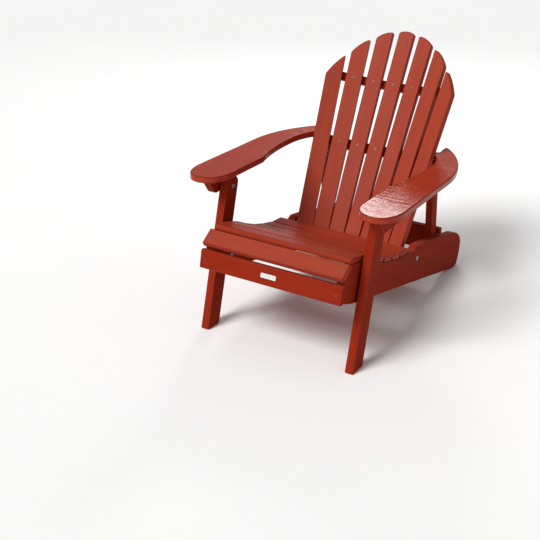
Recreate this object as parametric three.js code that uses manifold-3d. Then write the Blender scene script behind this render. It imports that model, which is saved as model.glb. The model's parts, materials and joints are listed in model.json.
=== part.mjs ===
// Folding, reclining adirondack chair. Millimetres, +Z up, the sitter faces -Y, +X is to the
// right in the view from the front. The chair is written with Y = 0 at the apron's top edge
// and Z = 0 on the ground, and is moved at the end so that its box is centred on X = Y = 0.
import * as THREE from 'three';
import { mergeVertices } from 'three/addons/utils/BufferGeometryUtils.js';
import Module from 'manifold-3d';

const wasm = await Module();
wasm.setup();

// ---- driving dimensions ------------------------------------------------------------------
const GAP = 0.4;                       // between pieces that touch
const FIT = 0.5;                       // play of a bolt in its hole, on the radius

// pivots, as [y, z] in the side view
const LEG_PIVOT = [128, 256];          // front leg on the side rail
const ARM_PIVOT = [190, 468];          // arm bracket on the front leg
const BACK_PIVOT = [557, 183];         // back's bottom bar on the side rail
const PROP_PIVOT = [746, 462];         // rear prop and rear end of the arm on the middle bar

// side rails
const RAIL_OUT = 254;
const RAIL_IN = 227;

// seat: one chain of slats, each with its own slope
const SEAT_HALF = 252;
const SEAT_SLAT = { width: 58, thick: 19.5, pitch: 63.5 };
const SEAT_START = [67, 382];          // top front edge of the first slat
const SEAT_SLOPES = [-14, -19, -27, -24, -18, -14.5, -5];
const NOSE = { half: 257.3, width: 60, thick: 19, bottom: [0, 338.4], slope: 33.2 };
const APRON = { half: 260.2, height: 63.4, thick: 19.5, bottom: [-15.4, 255.4], lean: 13.1 };
const PLATE = { width: 56, height: 15.5, thick: 1.2 };

// front legs
const LEG = { inner: 260.7, thick: 30, width: 65, lean: 15.55, above: 34, corner: 26 };

// arms: a flat board that falls a little towards the rear
const ARM = { thick: 22, topZ: 537.5, slope: -2.05 };
const BRACKET = { inner: 294, thick: 30, bottom: 453 };
const REAR_BRACKET = { inner: 229, thick: 26, play: 6.5 };

// back: seven slats on a hollow curve, spread like a fan
const BACK_LEAN = 30.28;               // from the vertical
const BACK_FACE = 15.4;                // centre slat's front face, ahead of the pivot
const BACK_RADIUS = 575;               // of the curve across the slats' front faces
const BACK_SLAT = { width: 58.6, thick: 19, bottom: -28, crown: 770.5, drop: 0.00297, corner: 6 };
const CROWN_BULGE = 5;                 // how much rounder each slat's own top is than the whole arch
const FAN = { pitch: 60, growth: 0.0252 };    // pitch at the pivot, and its gain per mm of height
const MIDDLE = 342;                    // height of the middle bar up the back
const MIDDLE_REACH = 11;               // middle bar's end, past the outer slat's middle line
const BAR_REAR = -31;                  // straight rear face of the lower two bars
const BAR_PLAY = 1.2;                  // the fan makes each slat cross a bar slightly askew
const TOP_BAR = { at: 577.5, height: 30, thick: 25 };
const MIDDLE_BAR = { at: MIDDLE - 1, height: 36 };
const BOTTOM_BAR = { at: -4, height: 44 };

// rear prop
const POST = { inner: 200, thick: 26.5, width: 43, swing: 9, foot: [767.7, 112] };
const CROSS = { half: 240.5, between: 224, height: 96, thick: 18 };

// fasteners
const BOLT = { shank: 4, head: 8.5, dome: 3.2 };
const SKIN = 7;                        // left outside the blind hole for a bolt's tip
const WASHER = 10;
const SIDES = [['left', -1], ['right', 1]];

// ---- finishes ----------------------------------------------------------------------------
const LUMBER = { color: 0x96351f, roughness: 0.5, metalness: 0 };
const STEEL = { color: 0x8f979a, roughness: 0.35, metalness: 0.9 };
const SILVER = { color: 0xd9d9d6, roughness: 0.3, metalness: 0.8 };

// ---- small helpers -----------------------------------------------------------------------
const rad = THREE.MathUtils.degToRad;
const chair = new THREE.Group();

function add(name, geometry, finish, parent = chair) {
  const mesh = new THREE.Mesh(geometry, new THREE.MeshStandardMaterial(finish));
  mesh.name = name;
  parent.add(mesh);
  return mesh;
}

// [y, z] plus a step of `along` in the direction `deg` and `off` square to it
function step([y, z], deg, along, off = 0) {
  const c = Math.cos(rad(deg));
  const s = Math.sin(rad(deg));
  return [y + along * c - off * s, z + along * s + off * c];
}

function polygon(points) {
  return new THREE.Shape(points.map(([u, v]) => new THREE.Vector2(u, v)));
}

// closed outline through corners [u, v, radius], each rounded where it has a radius
function rounded(corners) {
  const shape = new THREE.Shape();
  corners.forEach(([u, v, radius = 0], i) => {
    const at = new THREE.Vector2(u, v);
    const before = corners[(i + corners.length - 1) % corners.length];
    const after = corners[(i + 1) % corners.length];
    const from = new THREE.Vector2(before[0], before[1]).sub(at).setLength(radius).add(at);
    const to = new THREE.Vector2(after[0], after[1]).sub(at).setLength(radius).add(at);
    if (i === 0) shape.moveTo(from.x, from.y);
    else shape.lineTo(from.x, from.y);
    if (radius > 0) shape.quadraticCurveTo(u, v, to.x, to.y);
  });
  shape.closePath();
  return shape;
}

// round hole, wound the opposite way to the outline around it
function hole(shape, [u, v], radius) {
  const path = new THREE.Path();
  path.absarc(u, v, radius, 0, 2 * Math.PI, !THREE.ShapeUtils.isClockWise(shape.getPoints()));
  shape.holes.push(path);
}

function extrude(shape, depth, curveSegments = 6) {
  return new THREE.ExtrudeGeometry(shape, { depth, bevelEnabled: false, curveSegments });
}

// side view outline [y, z], extruded along X over `thick`, on one side of the chair
const SIDE_VIEW = new THREE.Matrix4().makeBasis(
  new THREE.Vector3(0, 1, 0), new THREE.Vector3(0, 0, 1), new THREE.Vector3(1, 0, 0));

function sidePiece(name, shape, side, inner, thick, parent = chair, finish = LUMBER) {
  const mesh = add(name, extrude(shape, thick), finish, parent);
  mesh.setRotationFromMatrix(SIDE_VIEW);
  mesh.position.x = side > 0 ? inner : -inner - thick;
  return mesh;
}

// board across the chair: `corner` is its lower front edge in the side view, `deg` the
// direction of its width, and its thickness lies to the rear of that line
function crossBoard(name, half, width, thick, corner, deg) {
  const mesh = add(name, new THREE.BoxGeometry(2 * half, width, thick), LUMBER);
  const [y, z] = step(corner, deg, width / 2, -thick / 2);
  mesh.position.set(0, y, z);
  mesh.rotation.x = rad(deg);
  return mesh;
}

function toSolid(geometry) {
  const bare = geometry.clone();
  bare.deleteAttribute('normal');
  bare.deleteAttribute('uv');
  const merged = mergeVertices(bare, 1e-4);
  return new wasm.Manifold(new wasm.Mesh({
    numProp: 3,
    vertProperties: new Float32Array(merged.attributes.position.array),
    triVerts: new Uint32Array(merged.index.array),
  }));
}

function toGeometry(solid) {
  const mesh = solid.getMesh();
  const geometry = new THREE.BufferGeometry();
  geometry.setAttribute('position', new THREE.BufferAttribute(mesh.vertProperties, 3));
  geometry.setIndex(new THREE.BufferAttribute(mesh.triVerts, 1));
  const flat = geometry.toNonIndexed();
  flat.computeVertexNormals();
  return flat;
}

function cut(geometry, tools) {
  const solids = tools.map(toSolid);
  return toGeometry(solids.reduce((body, tool) => body.subtract(tool), toSolid(geometry)));
}

// hole for the tip of a bolt, from a side piece's inner face to SKIN short of its outer face
function blindHole(mesh, [y, z], side, thick) {
  const drill = new THREE.CylinderGeometry(BOLT.shank + FIT, BOLT.shank + FIT, 2 * (thick - SKIN), 24);
  drill.rotateX(Math.PI / 2).translate(y, z, side > 0 ? 0 : thick);
  mesh.geometry = cut(mesh.geometry, [drill]);
}

// ---- seat frame: rails, seat slats, nose slat, apron and plate ----------------------------
const seatFronts = [SEAT_START];
SEAT_SLOPES.forEach((slope, i) => {
  seatFronts.push(step(seatFronts[i], slope, SEAT_SLAT.pitch));
});

// rail outline: apron face, nose face, under the slats, a hump behind them, rounded rear foot
function railShape() {
  const shape = new THREE.Shape();
  const apronTop = step(APRON.bottom, 90 - APRON.lean, 79, -APRON.thick - GAP);
  const apronFoot = step(APRON.bottom, 90 - APRON.lean, 6, -APRON.thick - GAP);
  shape.moveTo(...apronFoot);
  shape.lineTo(...apronTop);
  shape.lineTo(...step(NOSE.bottom, NOSE.slope, NOSE.width, -NOSE.thick - GAP));
  SEAT_SLOPES.forEach((slope, i) => {
    shape.lineTo(...step(seatFronts[i], slope, 0, -SEAT_SLAT.thick - GAP));
    shape.lineTo(...step(seatFronts[i], slope, SEAT_SLAT.width, -SEAT_SLAT.thick - GAP));
  });
  shape.lineTo(521, 224);
  shape.quadraticCurveTo(537, 222, 546, 228);
  shape.quadraticCurveTo(553, 233.5, 566, 231);
  shape.lineTo(617, 221);
  shape.lineTo(680, 203.5);
  shape.lineTo(751, 186.5);
  shape.lineTo(872, 157);
  shape.quadraticCurveTo(917, 146, 943, 121);
  shape.quadraticCurveTo(964, 102, 963, 82);
  shape.quadraticCurveTo(959, 44, 946, 17);
  shape.quadraticCurveTo(938, 0, 923, 0);
  shape.lineTo(906, 0);
  shape.lineTo(128, 209);
  shape.quadraticCurveTo(45, 228, apronFoot[0], apronFoot[1]);
  hole(shape, LEG_PIVOT, BOLT.shank + FIT);
  hole(shape, BACK_PIVOT, BOLT.shank + FIT);
  return shape;
}

SIDES.forEach(([label, side]) => {
  sidePiece(`rail_${label}`, railShape(), side, RAIL_IN, RAIL_OUT - RAIL_IN);
});
SEAT_SLOPES.forEach((slope, i) => {
  const { width, thick } = SEAT_SLAT;
  crossBoard(`seat_slat_${i + 1}`, SEAT_HALF, width, thick, seatFronts[i], slope);
});
crossBoard('nose_slat', NOSE.half, NOSE.width, NOSE.thick, NOSE.bottom, NOSE.slope);
crossBoard('apron', APRON.half, APRON.height, APRON.thick, APRON.bottom, 90 - APRON.lean);

const plate = add('name_plate', new THREE.BoxGeometry(PLATE.width, PLATE.height, PLATE.thick), SILVER);
const plateAt = step(APRON.bottom, 90 - APRON.lean, APRON.height / 2, GAP + PLATE.thick / 2);
plate.position.set(0, ...plateAt);
plate.rotation.x = rad(90 - APRON.lean);

// ---- front legs ----------------------------------------------------------------------------
function legShape() {
  const up = 90 - LEG.lean;
  const half = LEG.width / 2;
  const footAt = (off) => {
    const [y, z] = step(ARM_PIVOT, up, 0, off);
    return y - z * Math.tan(rad(LEG.lean));
  };
  const shape = rounded([
    [footAt(half), 0],
    [footAt(-half), 0],
    [...step(ARM_PIVOT, up, LEG.above, -half), LEG.corner],
    [...step(ARM_PIVOT, up, LEG.above, half), LEG.corner],
  ]);
  hole(shape, ARM_PIVOT, BOLT.shank + FIT);
  return shape;
}

SIDES.forEach(([label, side]) => {
  const leg = sidePiece(`leg_${label}`, legShape(), side, LEG.inner, LEG.thick);
  blindHole(leg, LEG_PIVOT, side, LEG.thick);
});

// ---- arms and their brackets ---------------------------------------------------------------
const armFall = Math.tan(rad(ARM.slope));
const underArm = (y) => ARM.topZ + armFall * y - ARM.thick / Math.cos(rad(ARM.slope)) - GAP;

// plan view: round nose, straight inner edge to a cusp, hollow beside the back, a step behind
// the last slat, and a hooked rear end
function armShape(side) {
  const shape = new THREE.Shape();
  const x = (value) => side * value;
  shape.moveTo(x(241), 352);
  shape.lineTo(x(241), 144);
  shape.bezierCurveTo(x(243), 96, x(272), 62, x(314), 62);
  shape.bezierCurveTo(x(350), 62, x(375), 98, x(378), 156);
  shape.bezierCurveTo(x(378), 270, x(373), 370, x(373), 490);
  shape.bezierCurveTo(x(373), 590, x(343), 666, x(299), 734);
  shape.bezierCurveTo(x(279), 764, x(257), 788, x(242), 799);
  shape.quadraticCurveTo(x(231), 806, x(231), 792);
  shape.quadraticCurveTo(x(231), 766, x(235), 746);
  shape.quadraticCurveTo(x(235), 737, x(227), 737);
  shape.lineTo(x(220.5), 736);
  shape.lineTo(x(220.5), 728);
  shape.bezierCurveTo(x(242), 706, x(269.5), 650, x(269.5), 584);
  shape.bezierCurveTo(x(270.5), 500, x(263), 430, x(241), 352);
  return shape;
}

const rearHole = BOLT.shank + REAR_BRACKET.play;
SIDES.forEach(([label, side]) => {
  const arm = add(`arm_${label}`, extrude(armShape(side), ARM.thick, 10), LUMBER);
  arm.position.set(0, 0, ARM.topZ - ARM.thick / Math.cos(rad(ARM.slope)));
  arm.rotation.x = rad(ARM.slope);

  const front = rounded([
    [98, underArm(98)], [138, BRACKET.bottom, 8], [246, BRACKET.bottom, 8], [286, underArm(286)],
  ]);
  const block = sidePiece(`arm_bracket_front_${label}`, front, side, BRACKET.inner, BRACKET.thick);
  blindHole(block, ARM_PIVOT, side, BRACKET.thick);

  const rear = rounded([
    [713, underArm(713)], [722, 436, 18], [770, 436, 18], [779, underArm(779)],
  ]);
  hole(rear, PROP_PIVOT, rearHole);
  sidePiece(`arm_bracket_rear_${label}`, rear, side, REAR_BRACKET.inner, REAR_BRACKET.thick);
});

// ---- back ----------------------------------------------------------------------------------
// In this group X runs across, Y up the back and Z towards the sitter, from the pivot.
const back = new THREE.Group();
back.position.set(0, ...BACK_PIVOT);
back.rotation.x = rad(90 - BACK_LEAN);
chair.add(back);

const fanTilt = (i) => Math.atan(i * FAN.growth);
const turn = (i) => i * (FAN.pitch + FAN.growth * MIDDLE) / BACK_RADIUS;

// point on the front of slat i: `along` up the back, `across` from the slat's middle line,
// `depth` behind its face
function onSlat(i, along, across, depth) {
  const angle = turn(i);
  const shift = across + (along - MIDDLE) * Math.tan(fanTilt(i));
  const radius = BACK_RADIUS + depth;
  return new THREE.Vector2(
    radius * Math.sin(angle) + shift * Math.cos(angle),
    BACK_FACE + BACK_RADIUS - radius * Math.cos(angle) + shift * Math.sin(angle));
}

for (let i = -3; i <= 3; i += 1) {
  const { width, thick, bottom, crown, drop, corner } = BACK_SLAT;
  const topAt = (across) => {
    const x = onSlat(i, crown, across, 0).x;
    return (crown - drop * x * x - MIDDLE) / Math.cos(fanTilt(i));
  };
  const half = width / 2;
  const arc = [3, 2, 1, 0, -1, -2, -3].map((k) => {
    const across = half * k / 3;
    const rise = CROWN_BULGE * (1 - (k / 3) ** 2);
    return [across, topAt(across) + rise, Math.abs(k) === 3 ? corner : 0];
  });
  const shape = rounded([[-half, bottom - MIDDLE], [half, bottom - MIDDLE], ...arc]);
  const slat = add(`back_slat_${i + 4}`, extrude(shape, thick, 5).translate(0, 0, -thick), LUMBER, back);
  const at = onSlat(i, MIDDLE, 0, 0);
  slat.position.set(at.x, MIDDLE, at.y);
  slat.rotation.set(0, -turn(i), -fanTilt(i), 'YXZ');
}

// front outline of a bar: one flat seat behind each slat
function seats(along, reach) {
  const points = [];
  for (let i = -3; i <= 3; i += 1) {
    const near = i === -3 ? -reach : -BACK_SLAT.width / 2;
    const far = i === 3 ? reach : BACK_SLAT.width / 2;
    points.push(onSlat(i, along, near, BACK_SLAT.thick + BAR_PLAY));
    points.push(onSlat(i, along, far, BACK_SLAT.thick + BAR_PLAY));
  }
  return points;
}

// plan outline [x, z] swept up the back over `height`
function barGeometry(outline, { at, height }) {
  const shape = new THREE.Shape(outline.map((p) => new THREE.Vector2(p.x, -p.y)));
  return extrude(shape, height).rotateX(-Math.PI / 2).translate(0, at - height / 2, 0);
}

// pair of drills for the bolt holes in a bar's two ends
function boltHoles(inner, outer, along, out) {
  return SIDES.map(([, side]) => {
    const drill = new THREE.CylinderGeometry(BOLT.shank + FIT, BOLT.shank + FIT, outer - inner, 16);
    drill.rotateZ(Math.PI / 2);
    return drill.translate(side * (inner + outer) / 2, along, out);
  });
}

const topFront = seats(TOP_BAR.at, 8);
const topRear = topFront.map((p) => new THREE.Vector2(p.x * 0.985, p.y - TOP_BAR.thick)).reverse();
add('top_bar', barGeometry([...topFront, ...topRear], TOP_BAR), LUMBER, back);

// the pivot of the prop and arms, seen in the back's own frame
const pivotAlong = new THREE.Vector2(PROP_PIVOT[0] - BACK_PIVOT[0], PROP_PIVOT[1] - BACK_PIVOT[1]);
const lean = rad(BACK_LEAN);
const propAlong = pivotAlong.x * Math.sin(lean) + pivotAlong.y * Math.cos(lean);
const propOut = -pivotAlong.x * Math.cos(lean) + pivotAlong.y * Math.sin(lean);

const postRoom = propOut + POST.width / 2 + POST.swing;     // the bar is cut back for the posts
const barEnd = POST.inner - GAP;
const middleOutline = [
  ...seats(MIDDLE, MIDDLE_REACH),
  new THREE.Vector2(onSlat(3, MIDDLE, MIDDLE_REACH, BACK_SLAT.thick + BAR_PLAY).x, postRoom),
  new THREE.Vector2(barEnd, postRoom),
  new THREE.Vector2(barEnd, BAR_REAR),
  new THREE.Vector2(-barEnd, BAR_REAR),
  new THREE.Vector2(-barEnd, postRoom),
  new THREE.Vector2(onSlat(-3, MIDDLE, -MIDDLE_REACH, BACK_SLAT.thick + BAR_PLAY).x, postRoom),
];
const middleBar = cut(barGeometry(middleOutline, MIDDLE_BAR),
  boltHoles(barEnd - 42, barEnd + 5, propAlong, propOut));
add('middle_bar', middleBar, LUMBER, back);

const bottomEnd = RAIL_IN - 1;
const bottomSeats = seats(BOTTOM_BAR.at, 24);
const bottomOutline = [
  ...bottomSeats,
  new THREE.Vector2(bottomEnd, bottomSeats[bottomSeats.length - 1].y),
  new THREE.Vector2(bottomEnd, BAR_REAR),
  new THREE.Vector2(-bottomEnd, BAR_REAR),
  new THREE.Vector2(-bottomEnd, bottomSeats[0].y),
];
const bottomBar = cut(barGeometry(bottomOutline, BOTTOM_BAR),
  boltHoles(bottomEnd - 42, bottomEnd + 5, 0, 0));
add('bottom_bar', bottomBar, LUMBER, back);

// ---- rear prop: two posts and a crossboard whose ends lie on the rails ----------------------
const postDown = Math.atan2(POST.foot[1] - PROP_PIVOT[1], POST.foot[0] - PROP_PIVOT[0]);
const postDeg = THREE.MathUtils.radToDeg(postDown);

function postShape() {
  const half = POST.width / 2;
  const top = 2 - half;
  const length = Math.hypot(POST.foot[0] - PROP_PIVOT[0], POST.foot[1] - PROP_PIVOT[1]);
  const shape = rounded([
    [...step(PROP_PIVOT, postDeg, top, -half), 19],
    [...step(PROP_PIVOT, postDeg, length, -half), 0],
    [...step(PROP_PIVOT, postDeg, length, half), 0],
    [...step(PROP_PIVOT, postDeg, top, half), 19],
  ]);
  hole(shape, PROP_PIVOT, BOLT.shank + FIT);
  return shape;
}

SIDES.forEach(([label, side]) => {
  sidePiece(`prop_post_${label}`, postShape(), side, POST.inner, POST.thick);
});

const crossFront = step(POST.foot, postDeg, 6, POST.width / 2 + GAP);
const crossShape = polygon([
  crossFront,
  step(crossFront, postDeg, 0, CROSS.thick),
  step(crossFront, postDeg, -CROSS.height, CROSS.thick),
  step(crossFront, postDeg, -CROSS.height, 0),
]);
// space of the rail under each end of the board, parallel to the rail's top edge
const underEnd = polygon([[740, 192], [840, 168], [840, 80], [740, 80]]);
const endCuts = SIDES.map(([, side]) => {
  const room = extrude(underEnd, 60).applyMatrix4(SIDE_VIEW);
  return room.translate(side > 0 ? CROSS.between : -CROSS.between - 60, 0, 0);
});
const crossSolid = extrude(crossShape, 2 * CROSS.half).applyMatrix4(SIDE_VIEW);
add('prop_crossboard', cut(crossSolid.translate(-CROSS.half, 0, 0), endCuts), LUMBER);

// ---- pivot bolts and spacers ----------------------------------------------------------
// bolt from its head at x = head, pointing to x = tip, on the right; mirrored for the left
function bolt(name, [y, z], side, head, tip, radius = BOLT.head) {
  const out = Math.sign(head - tip);
  const length = Math.abs(head - tip);
  const profile = [[0, 0], [BOLT.shank, 0], [BOLT.shank, length], [radius, length],
    [radius * 0.92, length + BOLT.dome * 0.5], [radius * 0.6, length + BOLT.dome * 0.85],
    [0, length + BOLT.dome]];
  const turned = new THREE.LatheGeometry(profile.map(([r, h]) => new THREE.Vector2(r, h)), 20);
  const mesh = add(name, turned, STEEL);
  mesh.position.set(side * tip, y, z);
  mesh.rotation.z = -side * out * Math.PI / 2;
  return mesh;
}

// washer around a bolt, between two boards
function spacer(name, at, side, inner, thick) {
  const outline = new THREE.Shape().absarc(0, 0, WASHER, 0, 2 * Math.PI, false);
  hole(outline, [0, 0], BOLT.shank + FIT);
  const mesh = sidePiece(name, outline, side, inner, thick, chair, STEEL);
  mesh.position.y = at[0];
  mesh.position.z = at[1];
  return mesh;
}


const legOut = LEG.inner + LEG.thick;
const bracketOut = BRACKET.inner + BRACKET.thick;
const rearOut = REAR_BRACKET.inner + REAR_BRACKET.thick;
const postOut = POST.inner + POST.thick;

SIDES.forEach(([label, side]) => {
  bolt(`leg_bolt_${label}`, LEG_PIVOT, side, RAIL_IN - GAP, legOut - SKIN - 1.5);
  spacer(`leg_spacer_${label}`, LEG_PIVOT, side, RAIL_OUT + GAP, LEG.inner - RAIL_OUT - 2 * GAP);

  bolt(`arm_bolt_${label}`, ARM_PIVOT, side, LEG.inner - GAP, bracketOut - SKIN - 1.5);
  spacer(`arm_spacer_${label}`, ARM_PIVOT, side, legOut + GAP, BRACKET.inner - legOut - 2 * GAP);

  bolt(`back_bolt_${label}`, BACK_PIVOT, side, RAIL_OUT + GAP, bottomEnd - 38);
  bolt(`prop_bolt_${label}`, PROP_PIVOT, side, rearOut + GAP, barEnd - 38, rearHole + 4);
  spacer(`prop_spacer_${label}`, PROP_PIVOT, side, postOut + GAP,
    REAR_BRACKET.inner - postOut - 2 * GAP);
});

// ---- centre the chair's box on X = Y = 0 ----------------------------------------------------
chair.updateMatrixWorld(true);
const box = new THREE.Box3().setFromObject(chair, true);
const group = new THREE.Group();
chair.position.y = -(box.min.y + box.max.y) / 2;
group.add(chair);

export default group;
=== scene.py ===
# %% [markdown]
# # A folding adirondack chair, board by board
# The chair is moulded lumber in one rust red: rails, slats, legs, arms and a rear prop, held
# with steel bolts and screws. The frame loaded from model.glb already has every board at its
# true size and place, with sharp edges and no finish. This lesson gives each board the softened
# edges and the grain that the real lumber has, and then adds the hardware that shows.

import json
import math
import random

import bmesh
import bpy
from mathutils import Matrix, Vector


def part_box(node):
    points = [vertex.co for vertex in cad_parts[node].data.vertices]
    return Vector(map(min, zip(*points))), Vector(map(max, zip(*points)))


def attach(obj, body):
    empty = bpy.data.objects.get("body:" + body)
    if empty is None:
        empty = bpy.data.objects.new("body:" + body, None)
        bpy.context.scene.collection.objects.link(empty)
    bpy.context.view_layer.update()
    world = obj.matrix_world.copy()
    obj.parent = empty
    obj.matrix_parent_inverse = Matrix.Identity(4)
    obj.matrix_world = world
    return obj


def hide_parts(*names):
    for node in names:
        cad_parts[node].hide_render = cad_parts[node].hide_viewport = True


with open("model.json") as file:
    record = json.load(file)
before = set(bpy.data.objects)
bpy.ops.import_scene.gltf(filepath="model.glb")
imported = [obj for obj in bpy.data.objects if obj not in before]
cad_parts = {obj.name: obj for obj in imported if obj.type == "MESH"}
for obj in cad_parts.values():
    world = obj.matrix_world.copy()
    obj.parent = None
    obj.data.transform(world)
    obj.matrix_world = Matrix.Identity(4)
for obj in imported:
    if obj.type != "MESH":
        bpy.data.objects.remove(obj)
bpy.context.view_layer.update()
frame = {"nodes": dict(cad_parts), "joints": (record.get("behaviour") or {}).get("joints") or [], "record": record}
nodes = frame["nodes"]
body_of = {
    node: body
    for body, members in frame["record"]["behaviour"]["bodies"].items()
    for node in members
}

# %% [markdown]
# ## Camera
# The chair is seen from the front and a little to its left hand, from standing height a few
# paces away. A 72 mm lens on a full-frame sensor keeps the perspective mild. Turning a camera
# by 90 degrees less its elevation about X, and then by its azimuth about Z, points it at the
# chair with no tracking constraint to keep.

# %% Camera
LENS_MM = 72.37
SENSOR_MM = 36
AZIMUTH = math.radians(31.64)
ELEVATION = math.radians(26.38)
CAMERA_AT = (1.598, -3.0654, 1.8164)

camera = bpy.data.objects.new("camera", bpy.data.cameras.new("camera"))
camera.data.lens = LENS_MM
camera.data.sensor_width = SENSOR_MM
camera.location = CAMERA_AT
camera.rotation_euler = (math.pi / 2 - ELEVATION, 0, AZIMUTH)
bpy.context.collection.objects.link(camera)
bpy.context.scene.camera = camera
print("camera", [round(v, 2) for v in camera.location])

# %% [markdown]
# ## Light and floor
# A red chair needs a soft key from the upper left, so that the faces of the back slats glow and
# the outer side of the rail falls into shade. A wide, far key is a sun lamp with a broad disc:
# its light doesn't fall off, so the floor stays evenly white out to its edge. A small softbox
# stands low behind the chair. The arm tops mirror it towards the camera as a soft sheen, which
# shows how smooth they are. The sky is one even white, and the view transform is Standard, so
# the reds stay as mixed.

# %% Studio
SKY_STRENGTH = 0.36


def place_light(name, kind, at, target):
    light = bpy.data.lights.new(name, kind)
    holder = bpy.data.objects.new(name, light)
    holder.location = at
    aim = Vector(target) - Vector(at)
    holder.rotation_euler = aim.to_track_quat("-Z", "Y").to_euler()
    bpy.context.collection.objects.link(holder)
    return holder


key = place_light("key", "SUN", (-1.3, -2.9, 3.9), (0, 0, 0.3))
key.data.energy = 2.75
key.data.angle = math.radians(26)

sheen = place_light("sheen", "AREA", (-1.10, 2.6, 1.93), (0.3, -0.4, 0.5))
sheen.data.shape = "RECTANGLE"
sheen.data.size = 0.62
sheen.data.size_y = 0.4
sheen.data.energy = 17
sheen.visible_camera = False

sky = bpy.data.worlds.new("studio")
sky.use_nodes = True
sky.node_tree.nodes["Background"].inputs["Color"].default_value = (1, 1, 1, 1)
sky.node_tree.nodes["Background"].inputs["Strength"].default_value = SKY_STRENGTH
bpy.context.scene.world = sky
bpy.context.scene.view_settings.view_transform = "Standard"
print("lights", key.name, sheen.name, "and a sky of strength", SKY_STRENGTH)

# %% [markdown]
# ## Node helpers
# Materials here are built from nodes in code. Two small helpers keep that readable: one adds a
# node and fills in its sockets, and the other is a math node, which is most of what mixes a
# grain.

# %% Node helpers
def fresh_material(name):
    material = bpy.data.materials.new(name)
    material.use_nodes = True
    tree = material.node_tree
    return material, tree, tree.nodes["Principled BSDF"]


def add_node(tree, kind, settings=None, **sockets):
    node = tree.nodes.new("ShaderNode" + kind)
    for key, value in (settings or {}).items():
        setattr(node, key, value)
    for key, value in sockets.items():
        socket = node.inputs[key.replace("_", " ")]
        if isinstance(value, bpy.types.NodeSocket):
            tree.links.new(value, socket)
        else:
            socket.default_value = value
    return node


def math_node(tree, operation, first, second):
    node = tree.nodes.new("ShaderNodeMath")
    node.operation = operation
    for socket, value in zip(node.inputs, (first, second)):
        if isinstance(value, bpy.types.NodeSocket):
            tree.links.new(value, socket)
        else:
            socket.default_value = value
    return node.outputs[0]


# %% [markdown]
# ## Floor
# The floor is one wide sheet of matt white, faintly mottled so that it isn't a dead flat tone.
# It carries the chair's contact shadows and nothing more.

# %% Floor
def make_floor(half=12.0, bays=24):
    bm = bmesh.new()
    bmesh.ops.create_grid(bm, x_segments=bays, y_segments=bays, size=half)
    mesh = bpy.data.meshes.new("floor")
    bm.to_mesh(mesh)
    bm.free()
    floor = bpy.data.objects.new("floor", mesh)
    bpy.context.collection.objects.link(floor)
    material, tree, shader = fresh_material("floor_white")
    place = add_node(tree, "TexCoord").outputs["Object"]
    cloud = add_node(tree, "TexNoise", Vector=place, Scale=1.5, Detail=3.0)
    tone = add_node(tree, "ValToRGB", Fac=cloud.outputs["Fac"])
    tone.color_ramp.elements[0].color = (0.90, 0.90, 0.90, 1)
    tone.color_ramp.elements[1].color = (0.95, 0.95, 0.94, 1)
    tree.links.new(tone.outputs["Color"], shader.inputs["Base Color"])
    shader.inputs["Roughness"].default_value = 0.8
    mesh.materials.append(material)
    return floor


make_floor()

# %% [markdown]
# ## The lumber's finish
# Poly lumber is coloured right through and embossed with a fine grain that runs along the board.
# A wood texture in object space would run the same way through every board, so each board
# carries its own grain coordinates instead, in metres along, across and through it, and the
# material stretches its noise along the first of them.
#
# Four noises do the work. Long streaks and soft clouds make the red drift, hair-fine lines are
# pressed into the skin as bump, the clouds also make the polish come and go, and broad ripples
# swell the skin of the arms a little, so that their sheen isn't dead flat.

# %% Lumber finish
# waves per metre along and across the board, detail, distortion
STREAKS = (5, 55, 4.0, 0.6)
HAIRS = (14, 900, 3.0, 0.0)
CLOUDS = (6, 14, 3.0, 0.4)
RIPPLES = (22, 11, 1.0, 0.6)
STREAK_SHARE = 0.6
HAIR_SHARE = 0.25
CLOUD_SHARE = 0.15
BUMP_DEPTH = 0.0004


def stretched_noise(tree, grain, along, across, detail, distortion):
    mapped = add_node(tree, "Mapping", Vector=grain, Scale=(along, across, across))
    return add_node(tree, "TexNoise", Vector=mapped.outputs["Vector"], Scale=1.0,
                    Detail=detail, Distortion=distortion).outputs["Fac"]


def lumber(name, light, dark, roughness, shine, polish=0.12, emboss=0.5, waves=0.0):
    material, tree, shader = fresh_material(name)
    grain = add_node(tree, "Attribute", {"attribute_name": "grain"}).outputs["Vector"]
    streaks = stretched_noise(tree, grain, *STREAKS)
    hairs = stretched_noise(tree, grain, *HAIRS)
    clouds = stretched_noise(tree, grain, *CLOUDS)

    blend = math_node(tree, "MULTIPLY", streaks, STREAK_SHARE)
    blend = math_node(tree, "ADD", blend, math_node(tree, "MULTIPLY", hairs, HAIR_SHARE))
    blend = math_node(tree, "ADD", blend, math_node(tree, "MULTIPLY", clouds, CLOUD_SHARE))
    tone = add_node(tree, "ValToRGB", Fac=blend)
    tone.color_ramp.elements[0].position = 0.32
    tone.color_ramp.elements[0].color = (*dark, 1)
    tone.color_ramp.elements[1].position = 0.68
    tone.color_ramp.elements[1].color = (*light, 1)
    tree.links.new(tone.outputs["Color"], shader.inputs["Base Color"])

    patchy = math_node(tree, "MULTIPLY", math_node(tree, "SUBTRACT", clouds, 0.5), polish * 2)
    fine = math_node(tree, "MULTIPLY", math_node(tree, "SUBTRACT", hairs, 0.5), polish)
    rough = math_node(tree, "ADD", math_node(tree, "ADD", patchy, fine), roughness)
    tree.links.new(rough, shader.inputs["Roughness"])

    relief = math_node(tree, "ADD", math_node(tree, "MULTIPLY", streaks, 0.8), hairs)
    ripples = stretched_noise(tree, grain, *RIPPLES)
    relief = math_node(tree, "ADD", relief, math_node(tree, "MULTIPLY", ripples, waves))
    bump = add_node(tree, "Bump", Height=relief, Strength=emboss, Distance=BUMP_DEPTH)
    tree.links.new(bump.outputs["Normal"], shader.inputs["Normal"])
    shader.inputs["Specular IOR Level"].default_value = shine
    return material


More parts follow.
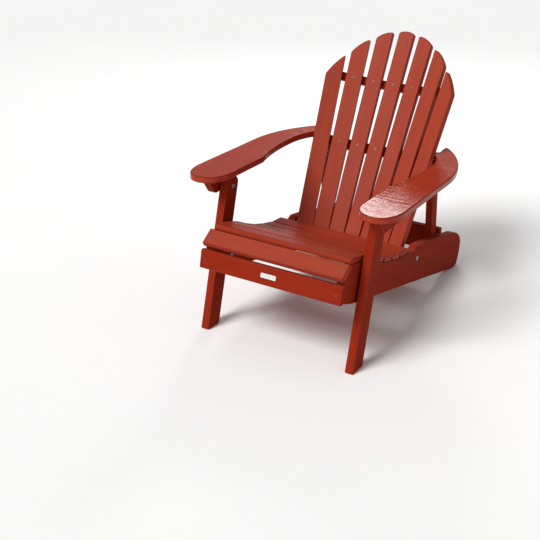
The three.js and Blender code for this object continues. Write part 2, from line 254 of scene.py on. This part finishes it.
lumber_reds_and_painted_shade = {
    # The frame's red is painted darker than the seat, back and arm reds: painted shade for the rails, apron, legs,
    # posts, bars and blocks, whose sides fall into shade.
    "frame": lumber("frame_lumber", (0.29, 0.0255, 0.009), (0.23, 0.019, 0.0065), 0.45, 0.01),
    "seat": lumber("seat_lumber", (0.37, 0.046, 0.021), (0.30, 0.034, 0.015), 0.40, 0.05),
    "back": lumber("back_lumber", (0.355, 0.049, 0.024), (0.295, 0.039, 0.018), 0.5, 0.10),
    "arm": lumber("arm_lumber", (0.38, 0.040, 0.016), (0.31, 0.030, 0.011), 0.20, 0.13,
                  polish=0.16, waves=6.0),
}
# A darker red for the rounded rims of every board: painted shade along the edges, where the rounding turns away
# from the light.
rim_painted_shade = lumber("rounded_edge_painted_shade", (0.27, 0.021, 0.007), (0.22, 0.016, 0.0055),
                     0.4, 0.1)


def look_of(node):
    if node.startswith("seat_slat"):
        return "seat"
    if node.startswith("back_slat") or node == "nose_slat":
        return "back"
    if node in ("arm_left", "arm_right"):
        return "arm"
    return "frame"


print("lumber_reds_and_painted_shade", sorted(lumber_reds_and_painted_shade))

# %% [markdown]
# ## From a CAD board to a finished board
# Every board starts as the frame's own mesh. Three steps finish it:
#
# - merge the doubled corners and dissolve the triangles that lie in one plane, so that the
#   board is a few clean faces again
# - bevel its rims, because moulded lumber has edges rounded by a few millimetres, and it is
#   those edges that catch the light. Bolt holes are left alone, as no one sees them
# - measure its own axes, from its longest edge and its largest face, and store the grain
#   coordinates on its points
#
# A weighted-normal modifier then keeps the broad faces flat and lets only the rims turn.

# %% Board helpers
SHARP = math.radians(32)
FLAT = math.radians(0.6)
WELD = 2e-5
HOLE_ZONE = 0.0125
pivots = [Vector(joint["pos_m"]) for joint in frame["joints"]]
shuffle = random.Random(11)


def clean_copy(node):
    bm = bmesh.new()
    bm.from_mesh(nodes[node].data)
    bmesh.ops.remove_doubles(bm, verts=bm.verts, dist=WELD)
    bmesh.ops.dissolve_limit(bm, angle_limit=FLAT, verts=bm.verts, edges=bm.edges)
    return bm


def board_axes(bm):
    longest = max(bm.edges, key=lambda edge: edge.calc_length())
    along = (longest.verts[1].co - longest.verts[0].co).normalized()
    largest = max(bm.faces, key=lambda face: face.calc_area())
    through = largest.normal.copy()
    through = (through - through.dot(along) * along).normalized()
    return along, through.cross(along), through


def in_hole(edge):
    middle = (edge.verts[0].co + edge.verts[1].co) / 2
    return any(math.hypot(middle.y - at.y, middle.z - at.z) < HOLE_ZONE for at in pivots)


def soften(bm, radius, segments=3):
    rims = [
        edge for edge in bm.edges
        if len(edge.link_faces) == 2 and edge.calc_face_angle(0) > SHARP and not in_hole(edge)
    ]
    made = bmesh.ops.bevel(bm, geom=rims, offset=radius, offset_type="OFFSET",
                           segments=segments, profile=0.5, affect="EDGES",
                           clamp_overlap=True)
    # The rounded faces take the second material, the darker rim red, which is painted shade.
    for face in made["faces"]:
        face.material_index = 1


def finish_piece(name, bm, body, materials, stands_for=()):
    mesh = bpy.data.meshes.new(name)
    for face in bm.faces:
        face.smooth = True
    bm.to_mesh(mesh)
    bm.free()
    for material in materials:
        mesh.materials.append(material)
    piece = bpy.data.objects.new(name, mesh)
    bpy.context.collection.objects.link(piece)
    piece.modifiers.new("flat_faces", "WEIGHTED_NORMAL").keep_sharp = True
    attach(piece, body)
    if stands_for:
        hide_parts(*stands_for)
    return piece


def finish_board(node, radius):
    bm = clean_copy(node)
    along, across, through = board_axes(bm)
    soften(bm, radius)
    start = Vector((shuffle.uniform(0, 9), shuffle.uniform(0, 9), shuffle.uniform(0, 9)))
    layer = bm.verts.layers.float_vector.new("grain")
    for vert in bm.verts:
        own = Vector((vert.co.dot(along), vert.co.dot(across), vert.co.dot(through)))
        vert[layer] = own + start
    # The second material is the darker rim red: painted shade on the rounded edges.
    looks = [lumber_reds_and_painted_shade[look_of(node)], rim_painted_shade]
    return finish_piece(node + "_board", bm, body_of[node], looks, [node])


# %% [markdown]
# ## Every board of the chair
# The broad arms are rounded most, since hands rest on them. The rails, slats and legs come next,
# and the bars behind the back and the small blocks keep a tighter edge.

# %% Boards
ARM_EDGE = 0.005
SEAT_EDGE = 0.0032
BACK_EDGE = 0.0030
RAIL_EDGE = 0.0034
LEG_EDGE = 0.0032
BAR_EDGE = 0.0024
BLOCK_EDGE = 0.0026

edge_radius = {"arm_left": ARM_EDGE, "arm_right": ARM_EDGE}
for i in range(1, 8):
    edge_radius[f"seat_slat_{i}"] = SEAT_EDGE
    edge_radius[f"back_slat_{i}"] = BACK_EDGE
for node in ("nose_slat", "apron", "rail_left", "rail_right"):
    edge_radius[node] = RAIL_EDGE
for node in ("leg_left", "leg_right", "prop_post_left", "prop_post_right"):
    edge_radius[node] = LEG_EDGE
for node in ("top_bar", "middle_bar", "bottom_bar", "prop_crossboard"):
    edge_radius[node] = BAR_EDGE
for side in ("left", "right"):
    for place in ("front", "rear"):
        edge_radius[f"arm_bracket_{place}_{side}"] = BLOCK_EDGE

boards = {node: finish_board(node, radius) for node, radius in edge_radius.items()}
print(len(boards), "boards")

# %% [markdown]
# ## Bare metal
# Three metals show: the stainless bolts, the darker coated screws and the small plate on the
# apron. Each takes its roughness from a fine noise. On the bolts and the plate it is stretched
# into brush marks, and on the screws it is even all ways.

# %% Metals
def brushed_metal(name, colour, metallic, roughness, scratches):
    material, tree, shader = fresh_material(name)
    place = add_node(tree, "TexCoord").outputs["Object"]
    mapped = add_node(tree, "Mapping", Vector=place, Scale=scratches)
    lines = add_node(tree, "TexNoise", Vector=mapped.outputs["Vector"], Scale=1.0, Detail=4.0)
    tone = add_node(tree, "ValToRGB", Fac=lines.outputs["Fac"])
    tone.color_ramp.elements[0].position = 0.3
    tone.color_ramp.elements[0].color = (*[0.8 * part for part in colour], 1)
    tone.color_ramp.elements[1].position = 0.7
    tone.color_ramp.elements[1].color = (*colour, 1)
    tree.links.new(tone.outputs["Color"], shader.inputs["Base Color"])
    swing = math_node(tree, "MULTIPLY", lines.outputs["Fac"], 0.2)
    tree.links.new(math_node(tree, "ADD", swing, roughness - 0.1), shader.inputs["Roughness"])
    bump = add_node(tree, "Bump", Height=lines.outputs["Fac"], Strength=0.25, Distance=0.0001)
    tree.links.new(bump.outputs["Normal"], shader.inputs["Normal"])
    shader.inputs["Metallic"].default_value = metallic
    return material


steel = brushed_metal("stainless_steel", (0.34, 0.38, 0.40), 1.0, 0.36, (2500, 700, 700))
screw_steel = brushed_metal("coated_screw_steel", (0.17, 0.11, 0.09), 0.7, 0.45,
                            (900, 900, 900))
plate_metal = brushed_metal("plate_metal", (0.84, 0.85, 0.84), 0.35, 0.38, (60, 2500, 2500))
print("metals", steel.name, screw_steel.name, plate_metal.name)

# %% [markdown]
# ## Heads with sockets
# A bolt head, a screw head and a washer are all the same idea: rings of points, one
# above another, joined by faces. A lathe can only make the round ones. Here a ring may also be
# a polygon of so many sides, so a dome can run straight into a hexagonal or a square socket
# without any boolean.

# %% Rings
ROUND = 0
SQUARE = 4
HEXAGON = 6
CREASE = math.radians(40)


def reach(angle, radius, sides):
    if not sides:
        return radius
    sector = 2 * math.pi / sides
    return radius / math.cos(angle % sector - sector / 2)


def stack_rings(bm, rings, foot, axis, closed=False, steps=48):
    turn = Vector(axis).to_track_quat("Z", "Y")
    loops = []
    for radius, height, sides in rings:
        loop = []
        for k in range(steps):
            angle = 2 * math.pi * k / steps
            out = reach(angle, radius, sides)
            spot = Vector((out * math.cos(angle), out * math.sin(angle), height))
            loop.append(bm.verts.new(Vector(foot) + turn @ spot))
        loops.append(loop)
    pairs = list(zip(loops, loops[1:]))
    if closed:
        pairs.append((loops[-1], loops[0]))
    for lower, upper in pairs:
        for k in range(steps):
            after = (k + 1) % steps
            bm.faces.new((lower[k], lower[after], upper[after], upper[k]))
    if not closed:
        bm.faces.new(loops[0][::-1])
        bm.faces.new(loops[-1])


def metal_piece(name, bm, body, stands_for=(), metal=steel):
    bmesh.ops.recalc_face_normals(bm, faces=bm.faces)
    for edge in bm.edges:
        edge.smooth = len(edge.link_faces) == 2 and edge.calc_face_angle(0) < CREASE
    return finish_piece(name, bm, body, [metal], stands_for)


# %% [markdown]
# ## Pivot bolts and spacers
# Eight bolts carry the folding joints. Each is a button head with a hexagonal socket, and its
# tip ends in a blind hole, so no nut shows. The two at the rear of the arms have a wide flange
# under the head, because the hole in the arm's block is larger to let the linkage turn.

# %% Bolts
SHANK = 0.004
SOCKET = 0.0025
SOCKET_DEPTH = 0.0021
HEAD = 0.0085
HEAD_HEIGHT = 0.0032
FLANGE_HEIGHT = 0.0012


def finish_bolt(kind, side):
    node = f"{kind}_bolt_{side}"
    low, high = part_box(node)
    length = high.x - low.x
    out = 1 if side == "right" else -1
    if kind in ("leg", "arm"):
        out = -out                       # these two are driven from inside the chair
    foot = (low.x if out > 0 else high.x, (low.y + high.y) / 2, (low.z + high.z) / 2)
    flange = (high.z - low.z) / 2
    head = min(flange, HEAD)
    seat = length - HEAD_HEIGHT
    rings = [(SHANK * 0.8, 0, ROUND), (SHANK, 0.0009, ROUND), (SHANK, seat, ROUND),
             (flange, seat, ROUND)]
    if flange > head:
        rings += [(flange, seat + 0.0008, ROUND),
                  (flange - 0.0004, seat + FLANGE_HEIGHT, ROUND),
                  (head, seat + FLANGE_HEIGHT, ROUND)]
    rings += [(head, seat + 0.0016, ROUND), (head * 0.94, length - 0.0010, ROUND),
              (head * 0.78, length - 0.0003, ROUND), (head * 0.5, length, ROUND),
              (SOCKET + 0.0006, length, ROUND), (SOCKET, length - 0.0002, HEXAGON),
              (SOCKET, length - SOCKET_DEPTH, HEXAGON)]
    bm = bmesh.new()
    stack_rings(bm, rings, foot, (out, 0, 0))
    return metal_piece(node + "_steel", bm, body_of[node], [node])


bolts = [finish_bolt(kind, side) for kind in ("leg", "arm", "back", "prop")
         for side in ("left", "right")]
print(len(bolts), "bolts")


# %% Spacer washers
def finish_spacer(kind, side):
    node = f"{kind}_spacer_{side}"
    low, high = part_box(node)
    foot = (low.x, (low.y + high.y) / 2, (low.z + high.z) / 2)
    height = high.x - low.x
    radius = (high.z - low.z) / 2
    soft = 0.0003
    rings = [(SHANK + soft, 0, ROUND), (radius - soft, 0, ROUND), (radius, soft, ROUND),
             (radius, height - soft, ROUND), (radius - soft, height, ROUND),
             (SHANK + soft, height, ROUND)]
    bm = bmesh.new()
    stack_rings(bm, rings, foot, (1, 0, 0), closed=True)
    return metal_piece(node + "_steel", bm, body_of[node], [node])


spacers = [finish_spacer(kind, side) for kind in ("leg", "arm", "prop")
           for side in ("left", "right")]
print(len(spacers), "spacers")

# %% [markdown]
# ## Wood screws
# Every slat is screwed to what carries it: one screw at each bar on the back, and one at each
# rail on the seat, the nose and the apron. The prop's crossboard has two at each post, and each
# block under an arm has two from below. A head sits a shade proud of the skin, with a square
# socket. Its place is worked out from the boards, so it can't drift.

# %% Screw helpers
SCREW = 0.0041


def screw_head(bm, at, out):
    rings = [(SCREW * 0.7, -0.0025, ROUND), (SCREW, -0.0004, ROUND), (SCREW, 0.0003, ROUND),
             (SCREW * 0.92, 0.0007, ROUND), (SCREW * 0.6, 0.0009, ROUND),
             (0.0014, 0.0009, ROUND), (0.0012, 0.0008, SQUARE), (0.0011, -0.0006, SQUARE)]
    stack_rings(bm, rings, at, out, steps=32)


def face_frame(node, towards):
    """Axes of a board, the middle of its face that looks `towards`, and that face's normal."""
    bm = clean_copy(node)
    along, across, through = board_axes(bm)
    if through.dot(Vector(towards)) < 0:
        through = -through
    if along.dot(Vector((1, 0, 1))) < 0:
        along = -along
    spots = [vert.co for vert in bm.verts]
    middle = Vector((0, 0, 0))
    for axis in (along, across):
        reaches = [spot.dot(axis) for spot in spots]
        middle += axis * (min(reaches) + max(reaches)) / 2
    middle += through * max(spot.dot(through) for spot in spots)
    bm.free()
    return along, through, middle


# %% Screws in the back
def screw_row(bar, height):
    """One screw in each back slat, where the slat's middle line crosses the bar."""
    bm = bmesh.new()
    for i in range(1, 8):
        along, through, middle = face_frame(f"back_slat_{i}", (0, -1, 0.5))
        step = (height - middle.dot(back_up)) / along.dot(back_up)
        screw_head(bm, middle + along * step, through)
    return metal_piece(f"screws_{bar}", bm, "back", metal=screw_steel)


back_up = face_frame("back_slat_4", (0, -1, 0.5))[0]
for bar in ("top_bar", "middle_bar", "bottom_bar"):
    reaches = [vert.co.dot(back_up) for vert in nodes[bar].data.vertices]
    screw_row(bar, (min(reaches) + max(reaches)) / 2)
print("screws up the back along", [round(v, 3) for v in back_up])

# %% Screws in the seat, the nose, the apron and the prop
rail_low, rail_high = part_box("rail_right")
rail_middle = (rail_low.x + rail_high.x) / 2
post_low, post_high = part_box("prop_post_right")
post_middle = (post_low.x + post_high.x) / 2
POST_SPREAD = 0.016


def end_screws(node, towards, reach_x, offsets=(0,)):
    bm = bmesh.new()
    along, through, middle = face_frame(node, towards)
    across = through.cross(along)
    for end in (-reach_x, reach_x):
        for offset in offsets:
            screw_head(bm, middle + along * (end - middle.x) + across * offset, through)
    return metal_piece(f"screws_{node}", bm, body_of[node], metal=screw_steel)


for i in range(1, 8):
    end_screws(f"seat_slat_{i}", (0, 0, 1), rail_middle)
end_screws("nose_slat", (0, -0.5, 1), rail_middle)
end_screws("apron", (0, -1, 0), rail_middle)
end_screws("prop_crossboard", (0, 1, 0), post_middle,
           (-POST_SPREAD, POST_SPREAD))

# %% Screws under the arm blocks
BLOCK_SPREAD = {"front": 0.03, "rear": 0.014}


def block_screws(side, place):
    node = f"arm_bracket_{place}_{side}"
    low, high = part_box(node)
    bm = bmesh.new()
    for offset in (-BLOCK_SPREAD[place], BLOCK_SPREAD[place]):
        at = ((low.x + high.x) / 2, (low.y + high.y) / 2 + offset, low.z)
        screw_head(bm, at, (0, 0, -1))
    return metal_piece(f"screws_{node}", bm, "arms", metal=screw_steel)


for side in ("left", "right"):
    for place in BLOCK_SPREAD:
        block_screws(side, place)

# %% [markdown]
# ## The plate on the apron
# A small metal plate sits in the middle of the apron. It is left blank: a pressed plate with
# rounded corners, a soft rim and one fine line engraved inside the edge. Loops of a rounded
# rectangle, each a little smaller, give the rim and the line in one go.

# %% Plate
PLATE_HEIGHT = 0.0155
PLATE_THICK = 0.0012
PLATE_CORNER = 0.0026
LINE_DEPTH = 0.0003


def rounded_loop(bm, place, width, height, corner, depth, turns=6):
    loop = []
    for sx, sy, start in ((1, 1, 0), (-1, 1, 90), (-1, -1, 180), (1, -1, 270)):
        for k in range(turns + 1):
            angle = math.radians(start + 90 * k / turns)
            u = sx * (width / 2 - corner) + corner * math.cos(angle)
            v = sy * (height / 2 - corner) + corner * math.sin(angle)
            loop.append(bm.verts.new(place(u, v, depth)))
    return loop


def make_plate():
    along, through, middle = face_frame("name_plate", (0, -1, 0))
    across = through.cross(along)
    low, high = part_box("name_plate")
    width = high.x - low.x

    def place(u, v, depth):
        return middle + along * u + across * v + through * (depth - PLATE_THICK)

    bm = bmesh.new()
    steps = [(0, 0), (0, 0.0009), (0.0003, PLATE_THICK), (0.0014, PLATE_THICK),
             (0.0016, PLATE_THICK - LINE_DEPTH), (0.0020, PLATE_THICK - LINE_DEPTH),
             (0.0022, PLATE_THICK)]
    loops = [rounded_loop(bm, place, width - 2 * inset, PLATE_HEIGHT - 2 * inset,
                          PLATE_CORNER - inset, depth) for inset, depth in steps]
    for lower, upper in zip(loops, loops[1:]):
        for k in range(len(lower)):
            after = (k + 1) % len(lower)
            bm.faces.new((lower[k], lower[after], upper[after], upper[k]))
    bm.faces.new(loops[0][::-1])
    bm.faces.new(loops[-1])
    bmesh.ops.recalc_face_normals(bm, faces=bm.faces)
    return finish_piece("blank_plate", bm, "seat_frame", [plate_metal],
                        ["name_plate"])


make_plate()
